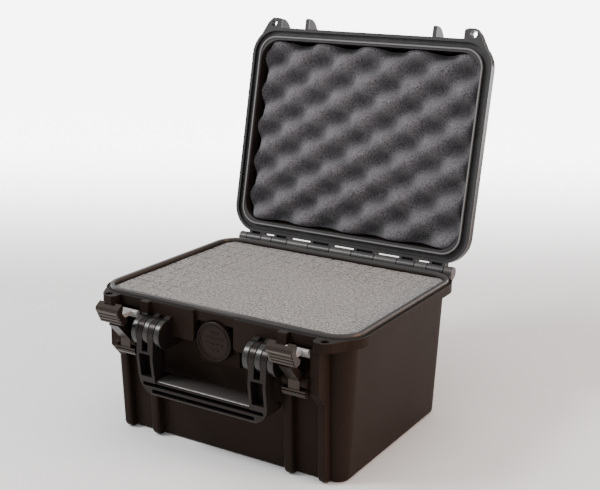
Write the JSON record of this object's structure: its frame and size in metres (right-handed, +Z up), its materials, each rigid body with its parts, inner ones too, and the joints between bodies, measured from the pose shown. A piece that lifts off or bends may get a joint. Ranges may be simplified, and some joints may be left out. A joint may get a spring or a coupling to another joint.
{
  "type": "hard equipment case",
  "caption": "Small moulded equipment case with a hinged lid leaning open, foam-filled base, egg-crate lid foam, folding carry handle, draw latches and a round pressure valve.",
  "frame": {"origin": "centre of the flat underside of the base", "axes": "+Z up, -Y towards the handle and latches, +X to the right seen from the handle side"},
  "size_m": [0.258, 0.3199, 0.3482],
  "materials": {
    "shell_plastic": "fine moulded texture, semi-matt",
    "handle_plastic": "smooth semi-gloss",
    "latch_plastic": "smooth semi-gloss",
    "hook_plastic": "smooth satin",
    "valve_plastic": "satin",
    "gasket_rubber": "matt",
    "lid_foam": "open-cell foam, matt",
    "base_foam": "open-cell foam, matt",
    "steel_pin": "satin",
    "membrane": "matt"
  },
  "bodies": {
    "base": {"base_shell": "shell_plastic", "hinge_pin": "steel_pin", "base_foam_pad": "base_foam", "base_foam_middle": "base_foam", "base_foam_top": "base_foam", "handle_pin_left": "steel_pin", "handle_pin_right": "steel_pin", "latch_pin_left": "steel_pin", "latch_pin_right": "steel_pin", "purge_valve_body": "valve_plastic", "purge_valve_seal": "gasket_rubber", "purge_valve_membrane": "membrane", "purge_valve_nut": "valve_plastic"},
    "lid": {"lid_shell": "shell_plastic", "lid_gasket": "gasket_rubber", "lid_foam": "lid_foam"},
    "handle": {"handle": "handle_plastic"},
    "latch_left": {"latch_lever_left": "latch_plastic", "latch_hook_pin_left": "steel_pin"},
    "latch_right": {"latch_lever_right": "latch_plastic", "latch_hook_pin_right": "steel_pin"},
    "hook_left": {"latch_hook_left": "hook_plastic"},
    "hook_right": {"latch_hook_right": "hook_plastic"},
    "valve_knob": {"purge_valve_knob": "valve_plastic"}
  },
  "joints": [
    {"name": "lid_close", "type": "hinge", "parent": "base", "child": "lid", "pos_m": [0, 0.11, 0.129], "axis": [1, 0, 0], "range_deg": [0, 101.5]},
    {"name": "handle_lift", "type": "hinge", "parent": "base", "child": "handle", "pos_m": [0, -0.1115, 0.1045], "axis": [-1, 0, 0], "range_deg": [0, 96]},
    {"name": "latch_left_shut", "type": "hinge", "parent": "base", "child": "latch_left", "pos_m": [-0.0845, -0.111, 0.092], "axis": [-1, 0, 0], "range_deg": [0, 30]},
    {"name": "latch_right_shut", "type": "hinge", "parent": "base", "child": "latch_right", "pos_m": [0.0845, -0.111, 0.092], "axis": [-1, 0, 0], "range_deg": [0, 30]},
    {"name": "hook_left_swing", "type": "hinge", "parent": "latch_left", "child": "hook_left", "pos_m": [-0.0845, -0.12947, 0.11564], "axis": [1, 0, 0], "range_deg": [0, 87]},
    {"name": "hook_right_swing", "type": "hinge", "parent": "latch_right", "child": "hook_right", "pos_m": [0.0845, -0.12947, 0.11564], "axis": [1, 0, 0], "range_deg": [0, 87]},
    {"name": "valve_turn", "type": "hinge", "parent": "base", "child": "valve_knob", "pos_m": [0, -0.1, 0.1042], "axis": [0, -1, 0], "range_deg": [0, 270]}
  ]
}
